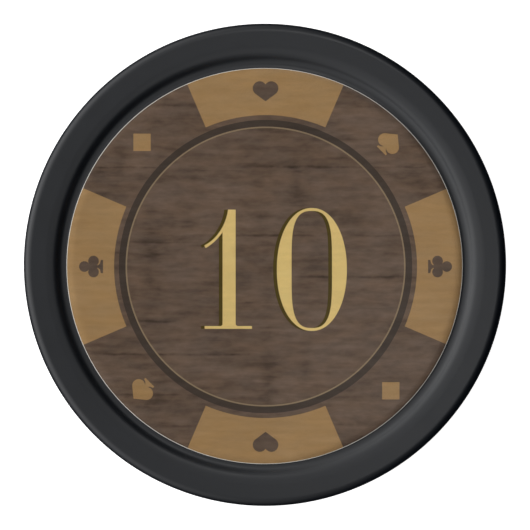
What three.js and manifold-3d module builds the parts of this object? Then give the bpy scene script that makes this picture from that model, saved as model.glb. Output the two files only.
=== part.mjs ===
// A casino-size poker chip: black clay composite moulded over a steel slug, with a laminated
// printed label in a shallow recess on each face.
// Millimetres, +Z up. The origin is the centre of the underside, on the surface the chip lies on,
// and +Y points to the top of the printed design.

import * as THREE from "three";
import { mergeVertices } from "three/addons/utils/BufferGeometryUtils.js";
import Module from "manifold-3d";

const wasm = await Module();
wasm.setup();

// Chip
const CHIP_DIAMETER = 39;
const CHIP_THICKNESS = 3.3;
const EDGE_RADIUS = 0.65; // rounding between each rim and the edge wall
const RIM_WIDTH = 1.07; // flat stacking rim
const RECESS_DEPTH = 0.5; // from the rim down to the seat that carries the label
const BROW_RADIUS = 2.4; // gentle turn down from the rim's inner side
const BROW_ANGLE = THREE.MathUtils.degToRad(15);
const SHOULDER_RADIUS = 0.95; // tighter turn from there into the slope
const SLOPE_ANGLE = THREE.MathUtils.degToRad(42.5);
const TROUGH_RADIUS = 0.72; // round trough between the slope and the label's seat
const TROUGH_RISE_ANGLE = THREE.MathUtils.degToRad(18); // at the seat's edge

// Steel slug
const SLUG_DIAMETER = 26;
const SLUG_THICKNESS = 1.5;
const SLUG_CHAMFER = 0.15;
const SLUG_CLEARANCE = 0.02; // left by the composite's shrinkage
const TIE_HOLE_DIAMETER = 3.2; // the composite flows through these and ties both faces together
const TIE_HOLE_RING = 16;
const TIE_HOLES = 4;

// Marks of the pins that hold the slug in the mould, hidden under the labels
const PIN_MARK_DIAMETER = 1.5;
const PIN_MARK_RING = 21;
const PIN_MARKS = 3;

// Labels
const LABEL_DIAMETER = 32;
const ADHESIVE_THICKNESS = 0.03;
const FACE_STOCK_THICKNESS = 0.1;
const LAMINATE_THICKNESS = 0.05;
const FRONT_LABEL_SHIFT = [-0.03, -0.1]; // how far off centre each label was stuck down
const REAR_LABEL_SHIFT = [0.06, 0.05];

// Facets
const ROUND_SEGMENTS = 96;
const HOLE_SEGMENTS = 24;
const ARC_STEPS = 4;

// Worked out from the sizes above
const chipRadius = CHIP_DIAMETER / 2;
const rimOuterRadius = chipRadius - EDGE_RADIUS;
const rimInnerRadius = rimOuterRadius - RIM_WIDTH;
const slugRadius = SLUG_DIAMETER / 2;
const slugBottom = (CHIP_THICKNESS - SLUG_THICKNESS) / 2;
const slugTop = slugBottom + SLUG_THICKNESS;
const frontSeat = CHIP_THICKNESS - RECESS_DEPTH;
const rearSeat = RECESS_DEPTH;

const composite = new THREE.MeshStandardMaterial({ color: 0x26272a, roughness: 0.5, metalness: 0 });
const steel = new THREE.MeshStandardMaterial({ color: 0x9a9ca0, roughness: 0.35, metalness: 1 });
const adhesive = new THREE.MeshStandardMaterial({ color: 0xd9d6c8, roughness: 0.6, metalness: 0 });
const whiteVinyl = new THREE.MeshStandardMaterial({ color: 0xe9e5dc, roughness: 0.45, metalness: 0 });
const laminate = new THREE.MeshStandardMaterial({ color: 0x5c4e42, roughness: 0.3, metalness: 0 });

const point = (radius, height) => new THREE.Vector2(radius, height);

// Points of an arc around (radius, height), without its first point.
function arc(radius, height, size, from, to) {
  const points = [];
  for (let step = 1; step <= ARC_STEPS; step += 1) {
    const angle = from + ((to - from) * step) / ARC_STEPS;
    points.push(point(radius + size * Math.cos(angle), height + size * Math.sin(angle)));
  }
  return points;
}

// A profile of radius and height, turned about Z.
function turned(profile, segments = ROUND_SEGMENTS) {
  const geometry = new THREE.LatheGeometry(profile, segments).rotateX(Math.PI / 2);
  geometry.deleteAttribute("normal");
  geometry.deleteAttribute("uv");
  return mergeVertices(geometry);
}

function disc(radius, bottom, top, segments = ROUND_SEGMENTS) {
  return turned([point(0, bottom), point(radius, bottom), point(radius, top), point(0, top)], segments);
}

function solid(geometry) {
  const vertProperties = new Float32Array(geometry.attributes.position.array);
  const triVerts = new Uint32Array(geometry.index.array);
  return new wasm.Manifold(new wasm.Mesh({ numProp: 3, vertProperties, triVerts }));
}

function geometryOf(manifold) {
  const mesh = manifold.getMesh();
  const geometry = new THREE.BufferGeometry();
  geometry.setAttribute("position", new THREE.BufferAttribute(mesh.vertProperties, 3));
  geometry.setIndex(new THREE.BufferAttribute(mesh.triVerts, 1));
  geometry.computeVertexNormals();
  return geometry;
}

// Equal round bars parallel to Z, spaced evenly around a ring of the given diameter.
function barsOnRing(count, ringDiameter, diameter, bottom, top, firstAngle) {
  const bars = [];
  for (let index = 0; index < count; index += 1) {
    const angle = firstAngle + (index * 2 * Math.PI) / count;
    const bar = disc(diameter / 2, bottom, top, HOLE_SEGMENTS);
    bar.translate((Math.cos(angle) * ringDiameter) / 2, (Math.sin(angle) * ringDiameter) / 2, 0);
    bars.push(solid(bar));
  }
  return bars;
}

function tieBars(diameter) {
  return barsOnRing(TIE_HOLES, TIE_HOLE_RING, diameter, 0, CHIP_THICKNESS, Math.PI / TIE_HOLES);
}

// The upper half of the chip's outline, from the middle of the edge wall in to the axis.
function upperOutline() {
  const up = Math.PI / 2;
  const down = -up;
  const browHeight = CHIP_THICKNESS - BROW_RADIUS;
  const brow = arc(rimInnerRadius, browHeight, BROW_RADIUS, up, up + BROW_ANGLE);
  const tightening = BROW_RADIUS - SHOULDER_RADIUS;
  const shoulder = arc(
    rimInnerRadius - tightening * Math.sin(BROW_ANGLE),
    browHeight + tightening * Math.cos(BROW_ANGLE),
    SHOULDER_RADIUS,
    up + BROW_ANGLE,
    up + SLOPE_ANGLE,
  );
  const slopeTop = shoulder.at(-1);
  const troughHeight = frontSeat + TROUGH_RADIUS * Math.cos(TROUGH_RISE_ANGLE);
  const slopeFoot = troughHeight - TROUGH_RADIUS * Math.cos(SLOPE_ANGLE);
  const slopeFootRadius = slopeTop.x - (slopeTop.y - slopeFoot) / Math.tan(SLOPE_ANGLE);
  const troughRadius = slopeFootRadius - TROUGH_RADIUS * Math.sin(SLOPE_ANGLE);
  const [troughStart, troughEnd] = [down + SLOPE_ANGLE, down - TROUGH_RISE_ANGLE];
  return [
    point(chipRadius, CHIP_THICKNESS - EDGE_RADIUS),
    ...arc(rimOuterRadius, CHIP_THICKNESS - EDGE_RADIUS, EDGE_RADIUS, 0, up),
    point(rimInnerRadius, CHIP_THICKNESS),
    ...brow,
    ...shoulder,
    point(slopeFootRadius, slopeFoot),
    ...arc(troughRadius, troughHeight, TROUGH_RADIUS, troughStart, troughEnd),
    point(0, frontSeat),
  ];
}

// The moulded chip: raised rims, recesses, the slug's cavity with its tie posts, and the pin marks,
// which open the cavity under each label.
function chipBody() {
  const upper = upperOutline();
  const lower = upper.map((corner) => point(corner.x, CHIP_THICKNESS - corner.y)).reverse();
  const cavity = disc(
    slugRadius + SLUG_CLEARANCE,
    slugBottom - SLUG_CLEARANCE,
    slugTop + SLUG_CLEARANCE,
  );
  const tiedCavity = tieBars(TIE_HOLE_DIAMETER - 2 * SLUG_CLEARANCE).reduce(
    (space, post) => space.subtract(post),
    solid(cavity),
  );
  const middle = CHIP_THICKNESS / 2;
  const frontMarks = barsOnRing(
    PIN_MARKS, PIN_MARK_RING, PIN_MARK_DIAMETER, middle, CHIP_THICKNESS, Math.PI / 2,
  );
  const rearMarks = barsOnRing(PIN_MARKS, PIN_MARK_RING, PIN_MARK_DIAMETER, 0, middle, Math.PI / 2);
  const body = [tiedCavity, ...frontMarks, ...rearMarks].reduce(
    (whole, cut) => whole.subtract(cut),
    solid(turned([...lower, ...upper])),
  );
  return geometryOf(body);
}

// The stamped steel disc that gives the chip its weight.
function steelSlug() {
  const blank = turned([
    point(0, slugBottom),
    point(slugRadius - SLUG_CHAMFER, slugBottom),
    point(slugRadius, slugBottom + SLUG_CHAMFER),
    point(slugRadius, slugTop - SLUG_CHAMFER),
    point(slugRadius - SLUG_CHAMFER, slugTop),
    point(0, slugTop),
  ]);
  const slug = tieBars(TIE_HOLE_DIAMETER).reduce((whole, hole) => whole.subtract(hole), solid(blank));
  return geometryOf(slug);
}

function mesh(name, geometry, material) {
  const piece = new THREE.Mesh(geometry, material);
  piece.name = name;
  return piece;
}

// One label: adhesive on the seat, printed white vinyl on that, clear laminate outermost.
// direction is +1 on the front face and -1 on the rear.
function label(side, seat, direction, [shiftX, shiftY]) {
  const layers = [
    ["label_adhesive", ADHESIVE_THICKNESS, adhesive],
    ["label_face_stock", FACE_STOCK_THICKNESS, whiteVinyl],
    ["label_laminate", LAMINATE_THICKNESS, laminate],
  ];
  const group = new THREE.Group();
  let inner = seat;
  for (const [name, thickness, material] of layers) {
    const outer = inner + direction * thickness;
    const layer = disc(LABEL_DIAMETER / 2, Math.min(inner, outer), Math.max(inner, outer));
    group.add(mesh(`${side}_${name}`, layer, material));
    inner = outer;
  }
  group.position.set(shiftX, shiftY, 0);
  return group;
}

const chip = new THREE.Group();
chip.add(
  mesh("chip_body", chipBody(), composite),
  mesh("steel_slug", steelSlug(), steel),
  label("front", frontSeat, 1, FRONT_LABEL_SHIFT),
  label("rear", rearSeat, -1, REAR_LABEL_SHIFT),
);

export default chip;
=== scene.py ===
"""A casino-size poker chip, drawn round its CAD frame.

The black moulding and the labels on both faces are remade with fine edges. A label is a stack:
white vinyl, printed inks a few microns thick, and a clear film.
Sizes and places in constants are in millimetres. Meshes are in metres, and +Z goes from the rear
face to the front.
"""

import math

import bmesh
import bpy
from mathutils import Matrix, Vector
from mathutils.geometry import delaunay_2d_cdt


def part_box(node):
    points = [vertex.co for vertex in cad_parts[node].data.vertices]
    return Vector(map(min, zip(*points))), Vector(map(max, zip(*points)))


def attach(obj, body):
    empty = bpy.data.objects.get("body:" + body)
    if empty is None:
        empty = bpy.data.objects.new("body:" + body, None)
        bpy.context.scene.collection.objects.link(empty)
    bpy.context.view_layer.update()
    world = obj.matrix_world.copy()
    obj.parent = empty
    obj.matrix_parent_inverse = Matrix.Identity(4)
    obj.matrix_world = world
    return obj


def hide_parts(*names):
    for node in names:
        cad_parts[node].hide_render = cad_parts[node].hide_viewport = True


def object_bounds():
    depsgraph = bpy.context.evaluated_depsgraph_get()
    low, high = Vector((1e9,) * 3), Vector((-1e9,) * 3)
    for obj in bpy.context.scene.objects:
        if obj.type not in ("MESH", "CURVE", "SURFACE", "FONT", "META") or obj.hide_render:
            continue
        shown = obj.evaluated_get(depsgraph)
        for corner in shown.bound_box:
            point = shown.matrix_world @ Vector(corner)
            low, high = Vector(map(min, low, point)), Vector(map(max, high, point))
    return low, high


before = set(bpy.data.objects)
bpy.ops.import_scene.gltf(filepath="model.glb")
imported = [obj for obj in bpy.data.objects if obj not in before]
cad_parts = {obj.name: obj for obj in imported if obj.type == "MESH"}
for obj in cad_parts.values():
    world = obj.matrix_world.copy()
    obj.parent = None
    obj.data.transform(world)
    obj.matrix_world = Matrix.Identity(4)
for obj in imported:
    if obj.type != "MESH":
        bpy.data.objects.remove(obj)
cad_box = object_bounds()

MM = 0.001

# Moulding
EDGE_RADIUS = 0.65  # rounding between each rim and the edge wall
RIM_WIDTH = 1.07
RECESS_DEPTH = 0.5  # from the rim down to the seat that carries the label
BROW_RADIUS = 2.4  # gentle turn down from the rim's inner side
BROW_ANGLE = math.radians(15)
SHOULDER_RADIUS = 0.95  # tighter turn from there into the slope
SLOPE_ANGLE = math.radians(42.5)
TROUGH_RADIUS = 0.72  # round trough between the slope and the seat
TROUGH_RISE_ANGLE = math.radians(18)  # at the seat's edge
PARTING_RIDGE_HEIGHT = 0.012
PARTING_RIDGE_WIDTH = 0.06
PARTING_CREST_WIDTH = 0.024
GATE_HEIGHT = 1.0
GATE_DEPTH = 0.04
GATE_ANGLE = math.radians(205)
CAVITY_CLEARANCE = 0.02
TIE_POST_DIAMETER = 3.16
TIE_POST_RING = 16
TIE_POSTS = 4
PIN_MARK_DIAMETER = 1.5
PIN_MARK_RING = 21
PIN_MARKS = 3

# Label
VINYL_ROUNDING = 0.02  # of its cut edge
FILM_ROUNDING = 0.018
INK_MARGIN = 0.035  # white vinyl left round the print
INK_THICKNESS = 0.006
FILM_GAP = 0.002  # between the ink and the film
EDGE_PRESS_WIDTH = 0.87  # the label's outermost part is pressed down
EDGE_PRESS_DEPTH = 0.07
EDGE_PRESS_POWER = 3  # the higher, the closer to the edge it bends
EDGE_PRESS_STEPS = 6
EDGE_BUMP_DEPTH = 0.13  # strengthens its shading
PRINT_SHIFT = Vector((0.08, -0.04))  # of the design, from the centre of the die cut

# Printed design, from its own centre
BLOCK_INNER_RADIUS = 12.24
BLOCK_HALF_ANGLE = math.radians(23.25)
BAND_RADIUS = 11.85
LINE_OUTER_RADIUS = 11.31
LINE_INNER_RADIUS = 11.19
SQUARE_SIDE = 1.4
SQUARE_PLACES = ((-9.98, 10.04), (10.12, -10.04))
SHADE_SHIFT = Vector((-0.3, 0.0))  # of the dark copy under each numeral

# Facets
ROUND_STEPS = 480
RING_STEPS = 360
NUMERAL_STEPS = 160
BLOCK_STEPS = 60
BAR_STEPS = 48
BAR_TURN = math.radians(2)  # keeps the corners of bars away from the moulding's own
CLUB_STEPS = 40
LOBE_STEPS = 24
ARC_STEPS = 14
BEZIER_STEPS = 10
MOULDING_HOLD = 0.02  # the narrow face beside a rounding, which keeps a flat one's shading flat
LABEL_HOLD = 0.01
SMOOTH_ANGLE = math.radians(30)  # edges that turn less than this are shaded smooth

# Camera
LENS = 400.0
SENSOR = 36.0
FRAME_WIDTH = 42.85  # what the frame spans at the chip's widest level
CAMERA_OFFSET = (0.005, -0.015)  # right of the chip's axis, and above it in the picture

# Floor
FLOOR_REACH = 3000  # from its middle to each side
FLOOR_GAP = 0.01  # keeps the floor clear of the rim that stands on it


# ---------------------------------------------------------------- meshes


def circle(centre, radius, steps=RING_STEPS, start=0.0, sweep=2 * math.pi):
    """Points round a circle, or along an arc with both its ends."""
    count = steps if sweep == 2 * math.pi else steps + 1
    turns = [start + sweep * step / steps for step in range(count)]
    return [centre + Vector((math.cos(t), math.sin(t))) * radius for t in turns]


def mesh_object(name, shape):
    """Turns a bmesh into an object."""
    bmesh.ops.recalc_face_normals(shape, faces=shape.faces)
    data = bpy.data.meshes.new(name)
    shape.to_mesh(data)
    shape.free()
    data.shade_smooth()
    data.set_sharp_from_angle(angle=SMOOTH_ANGLE)
    made = bpy.data.objects.new(name, data)
    bpy.context.scene.collection.objects.link(made)
    return made


def turned(name, profile, steps=ROUND_STEPS):
    """A closed shape turned about Z from (radius, height) points in millimetres, axis to axis."""
    shape = bmesh.new()
    rings = []
    for radius, height in profile:
        if radius == 0:
            rings.append([shape.verts.new((0, 0, height * MM))])
            continue
        points = circle(Vector((0, 0)), radius * MM, steps)
        rings.append([shape.verts.new((x, y, height * MM)) for x, y in points])
    for lower, upper in zip(rings, rings[1:]):
        for step in range(steps):
            after = step + 1
            around = [lower[step % len(lower)], lower[after % len(lower)]]
            around += [upper[after % len(upper)], upper[step % len(upper)]]
            shape.faces.new(dict.fromkeys(around))
    return mesh_object(name, shape)


def arc(radius, height, size, start, end):
    """(radius, height) points of an arc, without its first."""
    turns = [start + (end - start) * step / ARC_STEPS for step in range(1, ARC_STEPS + 1)]
    return [(radius + size * math.cos(t), height + size * math.sin(t)) for t in turns]


def bar(centre, diameter, bottom, top):
    """A round bar parallel to Z, for cutting."""
    radius = diameter / 2
    cutter = turned("bar", [(0, bottom), (radius, bottom), (radius, top), (0, top)], BAR_STEPS)
    cutter.location = (centre.x * MM, centre.y * MM, 0)
    cutter.rotation_euler.z = BAR_TURN
    return cutter


def cut(piece, cutters):
    """Cuts each cutter out of the piece and deletes it."""
    for cutter in cutters:
        modifier = piece.modifiers.new("cut", "BOOLEAN")
        modifier.operation = "DIFFERENCE"
        modifier.solver = "EXACT"
        modifier.object = cutter
    bpy.context.view_layer.update()
    evaluated = piece.evaluated_get(bpy.context.evaluated_depsgraph_get())
    shape = bmesh.new()
    shape.from_mesh(bpy.data.meshes.new_from_object(evaluated))
    name = piece.name
    bpy.data.objects.remove(piece)
    for cutter in cutters:
        bpy.data.objects.remove(cutter)
    return mesh_object(name, shape)


# ---------------------------------------------------------------- moulding


def upper_outline(radius, thickness):
    """The upper half of the chip's outline, from the middle of the edge wall to the axis."""
    up = math.pi / 2
    down = -up
    middle = thickness / 2
    ridge_edge = middle + PARTING_RIDGE_WIDTH / 2
    rim_outer = radius - EDGE_RADIUS
    rim_inner = rim_outer - RIM_WIDTH
    seat = thickness - RECESS_DEPTH
    brow_height = thickness - BROW_RADIUS
    tightening = BROW_RADIUS - SHOULDER_RADIUS
    shoulder = arc(
        rim_inner - tightening * math.sin(BROW_ANGLE),
        brow_height + tightening * math.cos(BROW_ANGLE),
        SHOULDER_RADIUS,
        up + BROW_ANGLE,
        up + SLOPE_ANGLE,
    )
    slope_radius, slope_height = shoulder[-1]
    trough_height = seat + TROUGH_RADIUS * math.cos(TROUGH_RISE_ANGLE)
    foot_height = trough_height - TROUGH_RADIUS * math.cos(SLOPE_ANGLE)
    foot_radius = slope_radius - (slope_height - foot_height) / math.tan(SLOPE_ANGLE)
    trough_radius = foot_radius - TROUGH_RADIUS * math.sin(SLOPE_ANGLE)
    trough_start, trough_end = down + SLOPE_ANGLE, down - TROUGH_RISE_ANGLE
    trough = arc(trough_radius, trough_height, TROUGH_RADIUS, trough_start, trough_end)
    seat_edge = trough[-1][0]
    return [
        (radius + PARTING_RIDGE_HEIGHT, middle + PARTING_CREST_WIDTH / 2),
        (radius, ridge_edge),
        (radius, ridge_edge + MOULDING_HOLD),
        (radius, thickness - EDGE_RADIUS - MOULDING_HOLD),
        (radius, thickness - EDGE_RADIUS),
        *arc(rim_outer, thickness - EDGE_RADIUS, EDGE_RADIUS, 0, up),
        (rim_outer - MOULDING_HOLD, thickness),
        (rim_inner + MOULDING_HOLD, thickness),
        (rim_inner, thickness),
        *arc(rim_inner, brow_height, BROW_RADIUS, up, up + BROW_ANGLE),
        *shoulder,
        (foot_radius, foot_height),
        *trough,
        (seat_edge - MOULDING_HOLD, seat),
        (0, seat),
    ]


def slug_cavity(slug_low, slug_high):
    """The space round the slug, crossed by the composite's tie posts."""
    radius = slug_high.x / MM + CAVITY_CLEARANCE
    bottom = slug_low.z / MM - CAVITY_CLEARANCE
    top = slug_high.z / MM + CAVITY_CLEARANCE
    space = turned("space", [(0, bottom), (radius, bottom), (radius, top), (0, top)])
    posts = circle(Vector((0, 0)), TIE_POST_RING / 2, TIE_POSTS, math.pi / TIE_POSTS)
    beyond = 1.0
    return cut(space, [bar(p, TIE_POST_DIAMETER, bottom - beyond, top + beyond) for p in posts])


def gate_cutter(radius, middle):
    """A block that trims the flat where the moulding's gate was."""
    shape = bmesh.new()
    bmesh.ops.create_cube(shape, size=1.0)
    depth, width = 1.0, 6.0
    bmesh.ops.scale(shape, vec=(depth * MM, width * MM, GATE_HEIGHT * MM), verts=shape.verts)
    block = mesh_object("gate", shape)
    out = (radius - GATE_DEPTH + depth / 2) * MM
    block.location = (out * math.cos(GATE_ANGLE), out * math.sin(GATE_ANGLE), middle * MM)
    block.rotation_euler.z = GATE_ANGLE
    return block


def chip_moulding():
    """The black composite, hollow for the slug and open to it at the pin marks."""
    low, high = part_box("chip_body")
    thickness = (high.z - low.z) / MM
    radius = (high.x - low.x) / 2 / MM
    upper = upper_outline(radius, thickness)
    lower = [(r, thickness - z) for r, z in reversed(upper)]
    slug_low, slug_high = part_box("steel_slug")
    middle = thickness / 2
    marks = circle(Vector((0, 0)), PIN_MARK_RING / 2, PIN_MARKS, math.pi / 2)
    cutters = [slug_cavity(slug_low, slug_high), gate_cutter(radius, middle)]
    cutters += [bar(mark, PIN_MARK_DIAMETER, middle, thickness) for mark in marks]
    cutters += [bar(mark, PIN_MARK_DIAMETER, 0, middle) for mark in marks]
    piece = cut(turned("chip_moulding", lower + upper), cutters)
    piece.data.materials.append(composite_material())
    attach(piece, "root")
    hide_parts("chip_body")


# ---------------------------------------------------------------- printed design


def bezier(points):
    """Points of a Bezier curve, without its first."""
    made = []
    for step in range(1, BEZIER_STEPS + 1):
        level = [Vector(p) for p in points]
        while len(level) > 1:
            level = [a.lerp(b, step / BEZIER_STEPS) for a, b in zip(level, level[1:])]
        made.append(level[0])
    return made


def superellipse(centre, half_width, half_height, power_x, power_y):
    """Points where |x / half_width| ** power_x + |y / half_height| ** power_y is 1."""
    points = []
    for step in range(NUMERAL_STEPS):
        turn = 2 * math.pi * step / NUMERAL_STEPS
        c, s = math.cos(turn), math.sin(turn)
        x = half_width * math.copysign(abs(c) ** (2 / power_x), c)
        y = half_height * math.copysign(abs(s) ** (2 / power_y), s)
        points.append(centre + Vector((x, y)))
    return points


def corners(*points):
    """Points of an outline from (x, y) pairs."""
    return [Vector(p) for p in points]


def numeral_one():
    """A stem on a serif, with a curved flag at its top left."""
    left, right = -3.474, -2.42
    serif_left, serif_right = -4.92, -1.1
    base, serif_top, top = -5.03, -4.805, 4.6
    bracket = 0.12
    peak = (-3.03, top)
    flag_tip, flag_foot = (-4.95, 1.7), (-4.84, 1.49)
    return [
        *corners((serif_left, base), (serif_right, base), (serif_right, serif_top)),
        *corners((right + bracket, serif_top), (right, serif_top + bracket), (right, top), peak),
        *bezier([peak, (-3.18, 3.4), (-3.92, 2.2), flag_tip]),
        Vector(flag_foot),
        *bezier([flag_foot, (-4.04, 1.96), (left, 2.78)]),
        *corners((left, serif_top + bracket), (left - bracket, serif_top), (serif_left, serif_top)),
    ]


def numeral_nought():
    """The outline, and the counter inside it."""
    outline = superellipse(Vector((3.74, -0.235)), 2.83, 4.965, 2.1, 2.1)
    counter = superellipse(Vector((3.735, -0.235)), 1.635, 4.73, 2.7, 4.1)
    return outline, counter


def pointed_lobes(tip, lobe, across, radius):
    """A heart or a spade without its stem: straight sides from a point to two round lobes.

    Positions are along the suit's axis, outward from the chip's centre. across is how far each
    lobe's centre lies from that axis.
    """
    span = abs(lobe - tip)
    side = math.atan2(across, span) + math.asin(radius / math.hypot(span, across))
    touch = side + math.pi / 2
    notch = -math.asin(across / radius)
    half = circle(Vector((span, across)), radius, LOBE_STEPS, touch, notch - touch)
    outline = [Vector((0, 0)), *half, *[Vector((p.x, -p.y)) for p in reversed(half[:-1])]]
    toward_lobes = math.copysign(1, lobe - tip)
    return [Vector((tip + toward_lobes * p.x, p.y)) for p in outline]


def mirrored(half):
    """An outline from the points on one side of a suit's axis."""
    return corners(*half, *[(u, -v) for u, v in reversed(half)])


def heart():
    """Its point is towards the chip's centre."""
    return [pointed_lobes(13.35, 14.405, 0.47, 0.565)]


def spade():
    """Its point is outward."""
    foot = mirrored([(13.22, 0.52), (13.36, 0.50), (13.46, 0.27), (13.62, 0.13), (14.3, 0.08)])
    return [pointed_lobes(15.09, 14.05, 0.45, 0.52), foot]


def club():
    """Three round heads on a foot, with the lone one outward."""
    lobes = [((14.64, 0), 0.43), ((13.90, 0.445), 0.43), ((13.90, -0.445), 0.43)]
    heads = [circle(Vector(place), radius, CLUB_STEPS) for place, radius in lobes]
    middle = mirrored([(13.7, 0.2), (14.25, 0.28), (14.5, 0.2)])
    foot = mirrored([(13.13, 0.54), (13.31, 0.53), (13.38, 0.24), (13.52, 0.12), (14.2, 0.08)])
    return [*heads, middle, foot]


def at_angle(shapes, degrees):
    """Suits drawn along +X, swung round the design's centre."""
    turn = Matrix.Rotation(math.radians(degrees), 2)
    return [[turn @ point for point in shape] for shape in shapes]


def gold_block(degrees):
    """A sector from the ring out past the die cut."""
    middle = math.radians(degrees)
    start, sweep = middle - BLOCK_HALF_ANGLE, 2 * BLOCK_HALF_ANGLE
    beyond = 17.0
    inner = circle(Vector((0, 0)), BLOCK_INNER_RADIUS, BLOCK_STEPS, start, sweep)
    outer = circle(Vector((0, 0)), beyond, BLOCK_STEPS, start + sweep, -sweep)
    return inner + outer


def square(centre):
    x, y = centre
    half = SQUARE_SIDE / 2
    below = corners((x - half, y - half), (x + half, y - half))
    above = corners((x + half, y + half), (x - half, y + half))
    return below + above


def design():
    """The print as (ink, outline, hole), later ones over earlier ones."""
    centre = Vector((0, 0))
    layers = [("gold_print", gold_block(degrees), None) for degrees in (0, 90, 180, 270)]
    wooden = [shape for degrees in (90, 270) for shape in at_angle(heart(), degrees)]
    wooden += [shape for degrees in (0, 180) for shape in at_angle(club(), degrees)]
    golden = [shape for degrees in (45, 225) for shape in at_angle(spade(), degrees)]
    golden += [square(place) for place in SQUARE_PLACES]
    layers += [("suit_print", shape, None) for shape in wooden]
    layers += [("gold_print", shape, None) for shape in golden]
    line_inside = circle(centre, LINE_INNER_RADIUS)
    layers.append(("ring_band", circle(centre, BAND_RADIUS), line_inside))
    layers.append(("ring_line", circle(centre, LINE_OUTER_RADIUS), line_inside))
    numerals = [(numeral_one(), None), numeral_nought()]
    for outline, hole in numerals:
        shade = [point + SHADE_SHIFT for point in outline]
        shade_hole = hole and [point + SHADE_SHIFT for point in hole]
        layers.append(("numeral_shade", shade, shade_hole))
    layers += [("numeral_print", outline, hole) for outline, hole in numerals]
    return layers


def anticlockwise(outline):
    """The outline's points, turned round if they go clockwise."""
    following = outline[1:] + outline[:1]
    area = sum(a.x * b.y - b.x * a.y for a, b in zip(outline, following))
    return outline if area > 0 else outline[::-1]


def ink_triangles(label_radius):
    """Splits the print into triangles and gives each to the ink seen there.

    Returns the corners, measured from the label's centre, and the triangles of each ink.
    """
    sheet = circle(-PRINT_SHIFT, label_radius - INK_MARGIN, ROUND_STEPS)
    points, loops, layers = [], [], []

    def add_loop(loop):
        """Adds the points of a loop and returns its number."""
        first = len(points)
        points.extend(anticlockwise(loop))
        loops.append(list(range(first, len(points))))
        return len(loops) - 1

    for ink, outline, hole in [("wood_print", sheet, None), *design()]:
        layers.append((ink, add_loop(outline), add_loop(hole) if hole else None))
    for radius in press_radii(label_radius):
        add_loop(circle(-PRINT_SHIFT, radius, ROUND_STEPS))
    only_inside, nearness = 1, 1e-6
    filled = delaunay_2d_cdt(points, [], loops, only_inside, nearness)
    spots, _, faces, _, _, loops_round_faces = filled
    sheet_loop = layers[0][1]
    by_ink = {}
    for face, inside in zip(faces, loops_round_faces):
        if sheet_loop not in inside:
            continue
        seen = [ink for ink, outline, hole in layers if outline in inside and hole not in inside]
        by_ink.setdefault(seen[-1], []).append(face)
    return [spot + PRINT_SHIFT for spot in spots], by_ink


def ink_slab(name, spots, faces, bottom, top):
    """A closed slab over the given triangles, in millimetres."""
    shape = bmesh.new()
    used = sorted({i for face in faces for i in face})
    places = {i: (spots[i].x * MM, spots[i].y * MM) for i in used}
    below = {i: shape.verts.new((x, y, bottom * MM)) for i, (x, y) in places.items()}
    above = {i: shape.verts.new((x, y, top * MM)) for i, (x, y) in places.items()}
    for face in faces:
        shape.faces.new([above[i] for i in face])
        shape.faces.new([below[i] for i in reversed(face)])
    edges = dict.fromkeys(edge for face in faces for edge in zip(face, [*face[1:], face[0]]))
    for a, b in edges:
        if (b, a) not in edges:
            shape.faces.new([below[a], below[b], above[b], above[a]])
    return mesh_object(name, shape)


# ---------------------------------------------------------------- labels


# Each print and a slot name carried beside it, which nothing reads; a print's material is the one of
# its own name
INK_SLOTS = {
    "wood_print": "wood_print",
    "suit_print": "wood_print",
    "gold_print": "gold_print",
    "ring_line": "gold_print",
    "ring_band": "shade_print",
    "numeral_shade": "shade_print",
    "numeral_print": "numeral_print",
}


def press_radii(radius):
    """Where a label of the given radius has rings of vertices, so that its edge can bend."""
    step = EDGE_PRESS_WIDTH / EDGE_PRESS_STEPS
    return [radius - EDGE_PRESS_WIDTH + step * index for index in range(EDGE_PRESS_STEPS)]


def press_edge(piece, radius, stock_thickness):
    """Presses a layer's edge down. The print side is at zero, and the vinyl thins above its back."""
    for vertex in piece.data.vertices:
        reach = math.hypot(vertex.co.x, vertex.co.y) / MM
        past = max(0.0, 1 - (radius - reach) / EDGE_PRESS_WIDTH)
        share = min(1.0, vertex.co.z / MM / stock_thickness + 1)
        vertex.co.z -= EDGE_PRESS_DEPTH * MM * share * past**EDGE_PRESS_POWER


def trimmed_disc(name, radius, bottom, top, rounding):
    """A thin die-cut disc whose edges are slightly rounded."""
    quarter = math.pi / 2
    rings = press_radii(radius)
    flat_radius = radius - rounding
    profile = [(0, bottom), *[(ring, bottom) for ring in rings]]
    profile += [(flat_radius - LABEL_HOLD, bottom), (flat_radius, bottom)]
    profile += arc(flat_radius, bottom + rounding, rounding, -quarter, 0)
    profile += [(radius, top - rounding)]
    profile += arc(flat_radius, top - rounding, rounding, 0, quarter)
    profile += [(flat_radius - LABEL_HOLD, top)]
    profile += [*[(ring, top) for ring in reversed(rings)], (0, top)]
    return turned(name, profile)


def refinish(node, material):
    """Gives a CAD node that isn't replaced a better material."""
    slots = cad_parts[node].data.materials
    slots.clear()
    slots.append(material)


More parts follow.
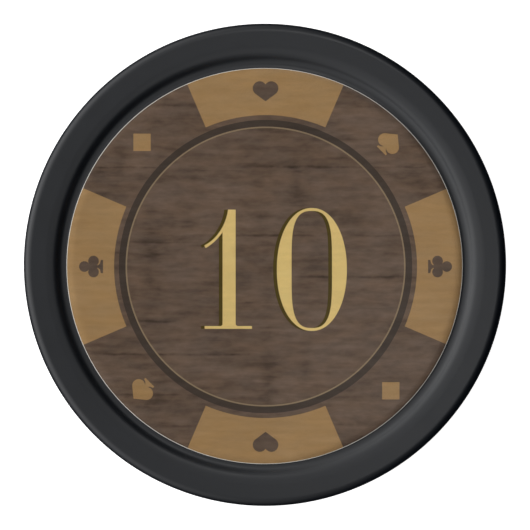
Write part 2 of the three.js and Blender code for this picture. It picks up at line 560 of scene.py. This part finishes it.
def label(side, outward, materials):
    """The stack on one face. It is built facing +Z with its print side at zero, then placed.

    outward is +1 on the front face and -1 on the rear.
    """
    stock_low, stock_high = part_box(f"{side}_label_face_stock")
    film_low, film_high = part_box(f"{side}_label_laminate")
    radius = (stock_high.x - stock_low.x) / 2 / MM
    stock_thickness = (stock_high.z - stock_low.z) / MM
    film_top = (film_high.z - film_low.z) / MM
    centre = (stock_low + stock_high) / 2
    centre.z = stock_high.z if outward > 0 else stock_low.z
    turn = Matrix.Identity(4) if outward > 0 else Matrix.Rotation(math.pi, 4, "Y")
    place = Matrix.Translation(centre) @ turn

    vinyl = trimmed_disc(f"{side}_label_vinyl", radius, -stock_thickness, 0, VINYL_ROUNDING)
    film_bottom = INK_THICKNESS + FILM_GAP
    film = trimmed_disc(f"{side}_label_film", radius, film_bottom, film_top, FILM_ROUNDING)
    stack = [(vinyl, "label_vinyl", "label_vinyl"), (film, "label_film", "label_laminate")]
    spots, by_ink = ink_triangles(radius)
    for ink, slot in INK_SLOTS.items():
        slab = ink_slab(f"{side}_{ink}", spots, by_ink[ink], 0, INK_THICKNESS)
        stack.append((slab, ink, slot))
    for piece, material, slot in stack:
        press_edge(piece, radius, stock_thickness)
        piece.matrix_world = place
        piece.data.materials.append(materials[material])
        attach(piece, "root")
    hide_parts(f"{side}_label_face_stock")
    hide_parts(f"{side}_label_laminate")
    refinish(f"{side}_label_adhesive", materials["label_adhesive"])


# ---------------------------------------------------------------- materials


# Linear colours, with the roughness they go with. Printed ones are a warm and a cool shade.
COMPOSITE_COLOUR = (0.0010, 0.0022, 0.0046)
COMPOSITE_ROUGHNESS = 0.435
WOOD_COLOURS = ((0.1150, 0.0735, 0.0480), (0.1080, 0.0740, 0.0535))
SUIT_COLOURS = ((0.0960, 0.0630, 0.0430), (0.0920, 0.0640, 0.0470))
BAND_COLOURS = ((0.0500, 0.0350, 0.0250), (0.0470, 0.0345, 0.0265))
GOLD_COLOURS = ((0.3150, 0.1880, 0.0770), (0.3080, 0.1920, 0.0870))
LINE_COLOURS = ((0.222, 0.161, 0.096), (0.222, 0.161, 0.096))
NUMERAL_COLOURS = ((0.660, 0.472, 0.170), (0.645, 0.474, 0.178))
SHADE_COLOURS = ((0.062, 0.042, 0.005), (0.062, 0.042, 0.005))
VINYL_COLOUR = (0.80, 0.78, 0.72)
ADHESIVE_COLOUR = (0.70, 0.67, 0.58)
STEEL_COLOUR = (0.42, 0.42, 0.43)
STEEL_ROUGHNESS = 0.35

# How far a seed moves the noise along X, Y and Z
SEED_STEPS = (1.0, 1.7, 0.6)

# Printed inks
INK_DOT_STRENGTH = 0.12
INK_DARKEST = 0.2  # the least that the grain leaves of a colour

# (size along X and Y, detail, roughness, strength, seed)
WOOD_GRAIN = [
    ((1.1, 0.40), 2, 0.55, 0.84, 1.0),
    ((4.5, 0.50), 2, 0.50, 0.86, 2.0),
    ((5.5, 3.00), 2, 0.50, 0.80, 3.0),
]
# (middle x, y, half length, half height, strength)
WOOD_SEAMS = [
    (-7.4, 13.0, 1.8, 0.12, 0.24),
    (8.4, 12.85, 1.2, 0.11, 0.26),
    (-11.0, 7.95, 2.8, 0.09, 0.30),
    (-4.0, 7.7, 2.2, 0.07, 0.22),
    (6.0, 8.0, 7.4, 0.11, 0.35),
    (-0.3, 2.45, 5.2, 0.10, 0.30),
    (9.4, 2.45, 2.6, 0.09, 0.26),
    (7.6, -0.88, 4.6, 0.11, 0.36),
    (-8.3, 1.9, 2.8, 0.07, 0.20),
    (-9.2, -4.5, 1.7, 0.09, 0.30),
    (-0.2, -3.0, 2.2, 0.07, 0.17),
    (1.0, -5.0, 1.6, 0.08, 0.22),
    (9.0, -3.4, 1.5, 0.07, 0.16),
    (-7.8, -7.15, 6.8, 0.10, 0.33),
    (-8.8, -10.4, 3.4, 0.09, 0.24),
    (-6.6, -12.9, 1.0, 0.12, 0.19),
    (7.6, -12.8, 1.9, 0.22, 0.22),
]
# (middle x, y, half length, half height, strength); a strength below zero is lighter
WOOD_SMUDGES = [
    (-9.2, 1.0, 0.65, 4.2, 0.13),
    (-9.3, -0.9, 0.5, 0.6, 0.26),
    (-9.3, 4.3, 0.5, 0.45, 0.18),
    (-0.5, 8.2, 0.9, 3.0, 0.12),
    (-1.0, 9.4, 0.8, 0.3, 0.16),
    (-0.3, 6.3, 0.6, 0.5, 0.14),
    (-0.4, 4.0, 0.9, 0.3, 0.26),
    (0.25, -2.0, 0.7, 4.5, 0.13),
    (0.3, -9.0, 0.6, 3.2, 0.18),
    (2.5, 7.2, 0.5, 2.2, 0.16),
    (2.6, 6.3, 0.4, 0.6, 0.16),
    (3.3, -8.0, 0.45, 2.6, 0.16),
    (3.5, 3.3, 1.3, 0.7, 0.14),
    (3.6, 0.4, 1.0, 0.35, 0.18),
    (5.3, -5.3, 1.0, 0.3, 0.20),
    (-8.0, 7.1, 4.2, 0.35, 0.15),
    (-11.7, 9.0, 0.6, 1.1, 0.18),
    (-6.8, 12.3, 1.5, 0.8, 0.12),
    (8.2, 0.8, 1.6, 0.7, 0.10),
    (12.5, 9.0, 1.6, 2.4, 0.12),
    (-10.5, -6.2, 3.5, 1.2, 0.12),
    (-5.0, 6.1, 3.8, 0.7, -0.12),
    (6.0, 5.4, 1.9, 0.7, -0.14),
    (-5.0, -0.7, 1.4, 0.5, -0.15),
    (-0.5, -9.3, 0.5, 0.13, -0.42),
    (-1.8, -8.9, 1.3, 0.3, -0.14),
    (8.0, -6.2, 3.2, 0.6, -0.12),
    (1.6, -9.1, 0.8, 0.6, -0.12),
    (8.0, 2.15, 1.1, 0.13, -0.20),
    (7.3, -11.6, 1.8, 0.5, -0.14),
]
SEAM_POWER = 6.0


def new_material(name):
    """A material, its node tree and its Principled shader."""
    material = bpy.data.materials.new(name)
    material.use_nodes = True
    tree = material.node_tree
    return material, tree, tree.nodes["Principled BSDF"]


def add(tree, kind, sockets=None, **settings):
    """Adds a node, sets its properties, and fills its sockets with values or links."""
    made = tree.nodes.new(kind)
    for name, value in settings.items():
        setattr(made, name, value)
    for socket, value in (sockets or {}).items():
        if isinstance(value, bpy.types.NodeSocket):
            tree.links.new(value, made.inputs[socket])
        else:
            made.inputs[socket].default_value = value
    return made


def calc(tree, operation, first, second=0.0, clamp=False):
    """Arithmetic on numbers."""
    sockets = {0: first, 1: second}
    return add(tree, "ShaderNodeMath", sockets, operation=operation, use_clamp=clamp).outputs[0]


def vector(tree, operation, first, second):
    """Arithmetic on vectors."""
    sockets = {0: first, 1: second}
    return add(tree, "ShaderNodeVectorMath", sockets, operation=operation).outputs[0]


def place_mm(tree):
    """Where the surface point lies in its object, in millimetres."""
    where = add(tree, "ShaderNodeTexCoord").outputs["Object"]
    return vector(tree, "MULTIPLY", where, (1 / MM, 1 / MM, 1 / MM))


def noise(tree, place, size, detail=2.0, roughness=0.5, seed=0.0):
    """Noise of about -0.5 to 0.5 whose features have the given sizes along X, Y and Z."""
    stretched = vector(tree, "DIVIDE", place, size)
    moved = vector(tree, "ADD", stretched, [seed * step for step in SEED_STEPS])
    sockets = {"Vector": moved, "Scale": 1.0, "Detail": detail, "Roughness": roughness}
    value = add(tree, "ShaderNodeTexNoise", sockets).outputs[0]
    return calc(tree, "SUBTRACT", value, 0.5)


def tinted(tree, colour, factor):
    """A linear colour times a number that varies over the surface."""
    node = add(tree, "ShaderNodeVectorMath", {0: colour, "Scale": factor}, operation="SCALE")
    return node.outputs[0]


def varied(tree, pattern, share, base=1.0):
    """The base plus a share of a pattern."""
    return calc(tree, "ADD", calc(tree, "MULTIPLY", pattern, share), base)


def bumped(tree, shader, height, depth):
    """Gives the shader a bump of the given depth in millimetres."""
    sockets = {"Height": height, "Distance": depth * MM, "Strength": 1.0}
    tree.links.new(add(tree, "ShaderNodeBump", sockets).outputs[0], shader.inputs["Normal"])


def composite_material():
    """Satin black clay composite: faint mottling and a fine moulded grain."""
    material, tree, shader = new_material("black_composite")
    place = place_mm(tree)
    mottle = noise(tree, place, size=(2.5, 2.5, 2.5), detail=4, roughness=0.6)
    speckle = noise(tree, place, size=(0.12, 0.12, 0.12), seed=3.0)
    tone = varied(tree, calc(tree, "ADD", mottle, speckle), 0.5)
    tree.links.new(tinted(tree, COMPOSITE_COLOUR, tone), shader.inputs["Base Color"])
    rough = varied(tree, mottle, 0.12, COMPOSITE_ROUGHNESS)
    tree.links.new(rough, shader.inputs["Roughness"])
    bumped(tree, shader, speckle, depth=0.004)
    return material


def wood_grain(tree, place):
    """How light the wood's grain is: 1 on average, with its streaks along X."""
    split = add(tree, "ShaderNodeSeparateXYZ", {0: place})
    sway = noise(tree, place, size=(7.0, 3.0, 1), detail=1, seed=5.0)
    swayed = {0: split.outputs[0], 1: varied(tree, sway, 0.4, split.outputs[1]), 2: 0.0}
    bent = add(tree, "ShaderNodeCombineXYZ", swayed).outputs[0]
    tone = 1.0
    for size, detail, roughness, strength, seed in WOOD_GRAIN:
        layer = noise(tree, bent, (*size, 1), detail, roughness, seed)
        tone = varied(tree, layer, strength, tone)
    return tone


def darker_spot(tree, x, y, spot, power=2.0):
    """Strongest in the middle of a spot and fading out of it.

    A higher power keeps it strong further along X.
    """
    middle_x, middle_y, half_length, half_height, strength = spot
    along = calc(tree, "DIVIDE", calc(tree, "SUBTRACT", x, middle_x), half_length)
    across = calc(tree, "DIVIDE", calc(tree, "SUBTRACT", y, middle_y), half_height)
    along = calc(tree, "POWER", calc(tree, "ABSOLUTE", along), power)
    away = calc(tree, "ADD", along, calc(tree, "MULTIPLY", across, across))
    fading = calc(tree, "EXPONENT", calc(tree, "MULTIPLY", away, -1.0))
    return calc(tree, "MULTIPLY", fading, strength)


def wood_tone(tree, place):
    """The grain with its seams and smudges."""
    split = add(tree, "ShaderNodeSeparateXYZ", {0: place})
    x, y = split.outputs[0], split.outputs[1]
    wobble = noise(tree, place, size=(2.5, 50, 1), detail=3, roughness=0.6, seed=8.0)
    wobbly_y = calc(tree, "SUBTRACT", y, calc(tree, "MULTIPLY", wobble, 0.3))
    gaps = noise(tree, place, size=(0.9, 3.0, 1), detail=3, roughness=0.6, seed=9.0)
    breaks = varied(tree, gaps, 3.0)
    lines = 0.0
    for seam in WOOD_SEAMS:
        lines = calc(tree, "ADD", darker_spot(tree, x, wobbly_y, seam, SEAM_POWER), lines)
    tone = calc(tree, "SUBTRACT", wood_grain(tree, place), calc(tree, "MULTIPLY", lines, breaks))
    for smudge in WOOD_SMUDGES:
        tone = calc(tree, "SUBTRACT", tone, darker_spot(tree, x, y, smudge))
    return tone


def pressed_edge(tree, place):
    """A height of zero over the label, falling to -1 at its edge."""
    flat = vector(tree, "MULTIPLY", place, (1, 1, 0))
    reach = add(tree, "ShaderNodeVectorMath", {0: flat}, operation="LENGTH").outputs["Value"]
    low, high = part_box("front_label_face_stock")
    start = (high.x - low.x) / 2 / MM - EDGE_PRESS_WIDTH
    past = calc(tree, "DIVIDE", calc(tree, "SUBTRACT", reach, start), EDGE_PRESS_WIDTH)
    past = calc(tree, "MAXIMUM", past, 0.0)
    return calc(tree, "MULTIPLY", calc(tree, "POWER", past, EDGE_PRESS_POWER), -1.0)


def print_material(name, warm, cool, wood, roughness):
    """Ink under clear film, between two colours. wood is how much of the wood shows."""
    material, tree, shader = new_material(name)
    place = place_mm(tree)
    # Only the bare wood shows its seams and smudges.
    pattern = wood_tone(tree, place) if wood == 1 else wood_grain(tree, place)
    tone = varied(tree, calc(tree, "SUBTRACT", pattern, 1.0), wood)
    dots = noise(tree, place, size=(0.09, 0.09, 1), detail=1, seed=6.0)
    tone = varied(tree, dots, INK_DOT_STRENGTH, tone)
    tone = calc(tree, "MAXIMUM", tone, INK_DARKEST)
    # The darker the ink, the warmer it is.
    drift = noise(tree, place, size=(3.0, 1.0, 1), detail=3, roughness=0.6, seed=7.0)
    drift = calc(tree, "ADD", varied(tree, drift, 3.0), 0.5)
    warmth = calc(tree, "SUBTRACT", drift, tone, clamp=True)
    factor, first, second, result = 0, 6, 7, 2  # the sockets of a mix of colours
    mixed = {factor: warmth, first: (*cool, 1), second: (*warm, 1)}
    colour = add(tree, "ShaderNodeMix", mixed, data_type="RGBA").outputs[result]
    tree.links.new(tinted(tree, colour, tone), shader.inputs["Base Color"])
    shader.inputs["Roughness"].default_value = roughness
    # The coat is the soft gloss of the film on the ink.
    shader.inputs["Specular IOR Level"].default_value = 0.0
    shader.inputs["Coat Weight"].default_value = 0.15
    shader.inputs["Coat Roughness"].default_value = 0.3
    bumped(tree, shader, pressed_edge(tree, place), EDGE_BUMP_DEPTH)
    return material


def vinyl_material():
    """White vinyl, seen where the die cut it."""
    material, tree, shader = new_material("label_vinyl")
    fibre = noise(tree, place_mm(tree), size=(0.2, 0.2, 0.05), roughness=0.6)
    colour = tinted(tree, VINYL_COLOUR, varied(tree, fibre, 0.15))
    tree.links.new(colour, shader.inputs["Base Color"])
    shader.inputs["Roughness"].default_value = 0.5
    return material


def film_material():
    """Clear film. Almost none of it shows, and its gloss is the coat on the inks."""
    material, _, shader = new_material("label_film")
    shader.inputs["Base Color"].default_value = (0.1, 0.1, 0.1, 1)
    shader.inputs["Roughness"].default_value = 0.25
    shader.inputs["Alpha"].default_value = 0.02
    return material


def adhesive_material():
    """Dried acrylic adhesive, clear and slightly yellow."""
    material, tree, shader = new_material("label_adhesive")
    blotch = noise(tree, place_mm(tree), size=(1.5, 1.5, 1.5), detail=3, roughness=0.6)
    colour = tinted(tree, ADHESIVE_COLOUR, varied(tree, blotch, 0.3))
    tree.links.new(colour, shader.inputs["Base Color"])
    shader.inputs["Roughness"].default_value = 0.6
    bumped(tree, shader, blotch, depth=0.02)
    return material


def steel_material():
    """Stamped steel: rolled one way, lightly oiled."""
    material, tree, shader = new_material("slug_steel")
    place = place_mm(tree)
    rolled = noise(tree, place, size=(6.0, 0.05, 6.0), detail=3, roughness=0.6)
    stain = noise(tree, place, size=(3.0, 3.0, 3.0), detail=4, roughness=0.6, seed=2.0)
    colour = tinted(tree, STEEL_COLOUR, varied(tree, stain, 0.35))
    tree.links.new(colour, shader.inputs["Base Color"])
    rough = varied(tree, rolled, 0.3, STEEL_ROUGHNESS)
    tree.links.new(rough, shader.inputs["Roughness"])
    shader.inputs["Metallic"].default_value = 1.0
    bumped(tree, shader, rolled, depth=0.004)
    return material


def label_materials():
    """Every material of the labels, by its name."""
    prints = {
        "wood_print": print_material("wood_print", *WOOD_COLOURS, wood=1.0, roughness=0.5),
        "suit_print": print_material("suit_print", *SUIT_COLOURS, wood=0.7, roughness=0.5),
        "ring_band": print_material("ring_band", *BAND_COLOURS, wood=0.6, roughness=0.5),
        "gold_print": print_material("gold_print", *GOLD_COLOURS, wood=0.28, roughness=0.45),
        "ring_line": print_material("ring_line", *LINE_COLOURS, wood=0.2, roughness=0.45),
        "numeral_print": print_material("numeral_print", *NUMERAL_COLOURS, wood=0.2, roughness=0.45),
        "numeral_shade": print_material("numeral_shade", *SHADE_COLOURS, wood=0.3, roughness=0.5),
    }
    return prints | {
        "label_vinyl": vinyl_material(),
        "label_film": film_material(),
        "label_adhesive": adhesive_material(),
    }


# ---------------------------------------------------------------- stage


def camera():
    """Looks straight down on the front face, with +Y upwards in the picture."""
    widest = cad_box[1].z - EDGE_RADIUS * MM
    data = bpy.data.cameras.new("camera")
    data.lens = LENS
    data.sensor_width = SENSOR
    data.clip_start = 0.01
    made = bpy.data.objects.new("camera", data)
    right, up = CAMERA_OFFSET
    distance = LENS / SENSOR * FRAME_WIDTH
    made.location = (right * MM, up * MM, widest + distance * MM)
    bpy.context.scene.collection.objects.link(made)
    bpy.context.scene.camera = made


def floor():
    """A white sheet that glows enough to hide the chip's shadow, as on a light table."""
    shape = bmesh.new()
    bmesh.ops.create_grid(shape, x_segments=2, y_segments=2, size=FLOOR_REACH * MM)
    sheet = mesh_object("floor", shape)
    sheet.location.z = cad_box[0].z - FLOOR_GAP * MM
    material, _, shader = new_material("white_sheet")
    shader.inputs["Base Color"].default_value = (0.85, 0.85, 0.85, 1)
    shader.inputs["Roughness"].default_value = 0.9
    shader.inputs["Specular IOR Level"].default_value = 0.0
    shader.inputs["Emission Color"].default_value = (1, 1, 1, 1)
    shader.inputs["Emission Strength"].default_value = 0.9
    sheet.data.materials.append(material)
    sheet.visible_glossy = False  # or its glow would show in the chip's edge


# (direction, strength, sharpness) of the soft light, all of it from the left
SKY = [
    ((-0.746, -0.416, 0.52), 2.15, 3.2),
    ((-0.71, 0.676, 0.2), 2.50, 3.4),
    ((-0.983, 0.158, 0.093), 2.3, 27.0),
]
SKY_BASE = 0.0025  # strength of the light from everywhere else
SKY_FADE = 5.0  # how fast the light fades below the horizon
# (place from the centre of the chip's underside, power in watts) of the lamps overhead
LAMPS = [
    ((15, -12, 84), 0.00443),
    ((22, 69, 129), 0.02613),
]
LAMP_DIAMETER = 20


def sky():
    """Soft light from the left. The camera itself sees plain white."""
    world = bpy.data.worlds.new("studio")
    bpy.context.scene.world = world
    world.use_nodes = True
    tree = world.node_tree
    toward = add(tree, "ShaderNodeTexCoord").outputs["Generated"]
    total = SKY_BASE
    for direction, strength, sharpness in SKY:
        sockets = {0: toward, 1: Vector(direction).normalized()}
        dot = add(tree, "ShaderNodeVectorMath", sockets, operation="DOT_PRODUCT").outputs["Value"]
        lobe = calc(tree, "POWER", calc(tree, "MAXIMUM", dot, 0.0), sharpness)
        total = varied(tree, lobe, strength, total)
    height = add(tree, "ShaderNodeSeparateXYZ", {0: toward}).outputs[2]
    level = calc(tree, "MULTIPLY", height, SKY_FADE)
    fade = calc(tree, "ADD", level, 1.0, clamp=True)
    total = calc(tree, "MULTIPLY", total, fade)
    seen = add(tree, "ShaderNodeLightPath").outputs["Is Camera Ray"]
    total = calc(tree, "MAXIMUM", total, seen)
    tree.links.new(total, tree.nodes["Background"].inputs["Strength"])
    tree.nodes["Background"].inputs["Color"].default_value = (1, 1, 1, 1)


def lamps():
    """Small lamps overhead, which the camera doesn't see."""
    for place, power in LAMPS:
        data = bpy.data.lights.new("lamp", "AREA")
        data.shape = "DISK"
        data.size = LAMP_DIAMETER * MM
        data.energy = power
        made = bpy.data.objects.new("lamp", data)
        made.location = Vector(place) * MM
        made.rotation_euler = Vector(place).to_track_quat("Z", "Y").to_euler()
        made.visible_camera = False
        bpy.context.scene.collection.objects.link(made)


def picture():
    """Colours as the light gives them, with no film-like curve."""
    view = bpy.context.scene.view_settings
    view.view_transform = "Standard"
    view.look = "None"


camera()
floor()
sky()
lamps()
picture()
chip_moulding()
refinish("steel_slug", steel_material())
materials = label_materials()
label("front", 1, materials)
label("rear", -1, materials)
